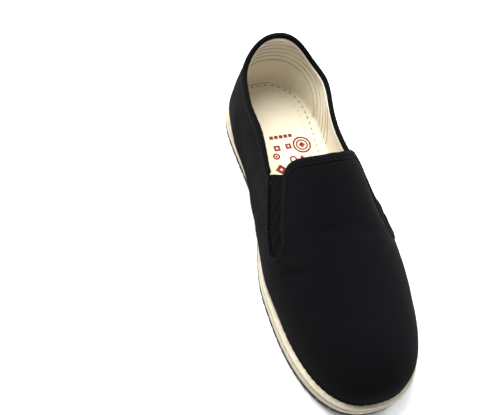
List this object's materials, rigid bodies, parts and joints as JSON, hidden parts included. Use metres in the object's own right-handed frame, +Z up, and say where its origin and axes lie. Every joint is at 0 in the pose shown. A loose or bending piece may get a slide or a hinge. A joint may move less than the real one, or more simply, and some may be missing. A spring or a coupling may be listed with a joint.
{
  "type": "chinese cloth shoe",
  "caption": "Black cotton slip-on shoe with a round toe, elastic gores beside a throat tab, a cream lining and a stacked cloth sole on a thin rubber outsole.",
  "frame": {"origin": "on the floor, under the middle of the shoe's box", "axes": "+Z up; the toe points to -Y and the heel to +Y; +X is the wearer's left"},
  "size_m": [0.0969, 0.268, 0.0859],
  "materials": {
    "rubber": "matt black moulded rubber",
    "sole_cloth": "cream cotton layers, stitched and rolled at the edge",
    "sock": "cream woven cotton",
    "cotton": "black cotton twill with a soft sheen",
    "elastic": "black ribbed elastic",
    "binding": "black rolled cotton tape"
  },
  "bodies": {
    "root": {"outsole": "rubber", "sole_layer_lower": "sole_cloth", "sole_layer_middle": "sole_cloth", "sole_layer_top": "sole_cloth", "insole": "sock", "upper": "cotton", "gore_left": "elastic", "gore_right": "elastic", "collar_binding": "binding"}
  },
  "joints": []
}
